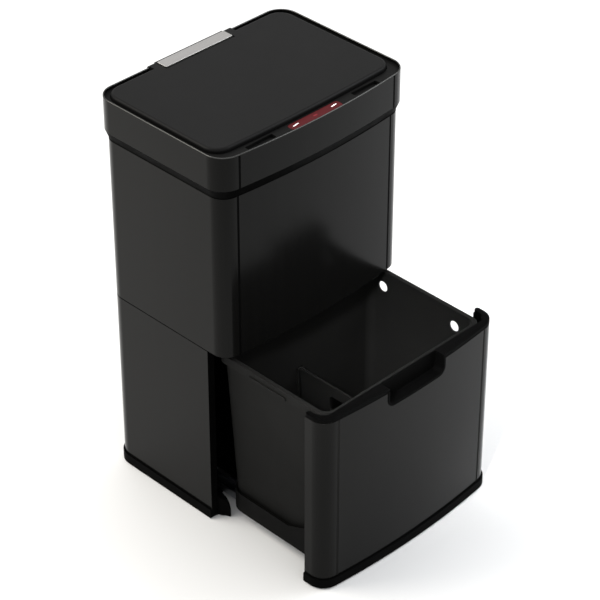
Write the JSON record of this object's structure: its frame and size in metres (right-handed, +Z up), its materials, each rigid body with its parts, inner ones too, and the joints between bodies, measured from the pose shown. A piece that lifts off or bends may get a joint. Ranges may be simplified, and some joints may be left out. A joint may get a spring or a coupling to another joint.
{
  "type": "two-tier sensor waste bin",
  "caption": "Free-standing two-tier waste bin: sensor lid over a lift-out bucket, with a pull-out drawer below that carries a divided recycling bin.",
  "frame": {"origin": "on the floor under the middle of the whole object as it stands, with the drawer pulled out 223 mm", "axes": "+Z up; -Y is the front, the way the drawer pulls out; +X is to the right of someone who faces the back from the front"},
  "size_m": [0.42, 0.5331, 0.7429],
  "materials": {
    "dark_steel": "smooth dark graphite coated steel sheet, semi-gloss",
    "lid_black": "satin black lid shell",
    "black_plastic": "fine matte black moulding",
    "grey_plastic": "satin charcoal moulding",
    "bin_plastic": "matte charcoal polypropylene",
    "silver": "brushed silver plate",
    "bare_steel": "zinc-plated steel",
    "red_lens": "dark red tinted lens, glossy",
    "rubber": "black rubber",
    "cell_wrap": "plain wrapped dry cell",
    "circuit_green": "circuit board",
    "light_pipe": "white light pipe"
  },
  "bodies": {
    "cabinet": {"base_frame": "black_plastic", "foot_front_left": "rubber", "foot_front_right": "rubber", "foot_rear_left": "rubber", "foot_rear_right": "rubber", "lower_cabinet_shell": "dark_steel", "opening_frame": "black_plastic", "mid_deck": "black_plastic", "upper_shell": "dark_steel", "upper_collar": "black_plastic", "upper_bucket": "bin_plastic", "runner_outer_left": "bare_steel", "runner_outer_right": "bare_steel"},
    "runner_middle_left": {"runner_middle_left": "bare_steel"},
    "runner_middle_right": {"runner_middle_right": "bare_steel"},
    "drawer": {"drawer_front_panel": "dark_steel", "drawer_liner": "black_plastic", "drawer_top_trim": "black_plastic", "drawer_base_trim": "black_plastic", "drawer_tray": "black_plastic", "recycling_bin": "bin_plastic", "bin_grip_left": "bin_plastic", "bin_grip_right": "bin_plastic", "runner_inner_left": "bare_steel", "runner_inner_right": "bare_steel"},
    "divider": {"divider": "bin_plastic"},
    "head": {"head_ring": "dark_steel", "head_frame": "grey_plastic", "hinge_block": "grey_plastic", "block_cover": "black_plastic", "cover_screw_1": "bare_steel", "cover_screw_2": "bare_steel", "hinge_plate": "silver", "gear_motor": "black_plastic", "hinge_pin": "bare_steel", "battery_box": "black_plastic", "battery_cell_1": "cell_wrap", "battery_cell_2": "cell_wrap", "battery_cell_3": "cell_wrap", "battery_cell_4": "cell_wrap", "wiring_loom": "rubber", "sensor_lens": "red_lens", "sensor_board": "circuit_green", "infrared_window": "black_plastic", "indicator_light_left": "light_pipe", "indicator_light_right": "light_pipe"},
    "lid": {"lid_cover": "lid_black", "lid_liner": "black_plastic", "drive_shaft": "bare_steel"},
    "battery_door": {"battery_door": "grey_plastic"},
    "power_switch": {"power_switch": "black_plastic"}
  },
  "joints": [
    {"name": "drawer_slide", "type": "slide", "parent": "cabinet", "child": "drawer", "axis": [0, -1, 0], "range_m": [-0.2233, 0.0267]},
    {"name": "runner_middle_left_slide", "type": "slide", "parent": "cabinet", "child": "runner_middle_left", "axis": [0, -1, 0], "range_m": [-0.1117, 0.0134]},
    {"name": "runner_middle_right_slide", "type": "slide", "parent": "cabinet", "child": "runner_middle_right", "axis": [0, -1, 0], "range_m": [-0.1117, 0.0134]},
    {"name": "divider_slide", "type": "slide", "parent": "drawer", "child": "divider", "axis": [0, 0, 1], "range_m": [0, 0.12]},
    {"name": "head_lift", "type": "slide", "parent": "cabinet", "child": "head", "axis": [0, 0, 1], "range_m": [0, 0.06]},
    {"name": "lid_hinge", "type": "hinge", "parent": "head", "child": "lid", "pos_m": [0, 0.25965, 0.736], "axis": [-1, 0, 0], "range_deg": [0, 80]},
    {"name": "battery_door_hinge", "type": "hinge", "parent": "head", "child": "battery_door", "pos_m": [-0.03, 0.26535, 0.7005], "axis": [-1, 0, 0], "range_deg": [0, 100]},
    {"name": "power_switch_slide", "type": "slide", "parent": "head", "child": "power_switch", "axis": [1, 0, 0], "range_m": [0, 0.005]}
  ],
  "couplings": [
    {"joint": "runner_middle_left_slide", "follows": "drawer_slide", "ratio": 0.5},
    {"joint": "runner_middle_right_slide", "follows": "drawer_slide", "ratio": 0.5}
  ]
}
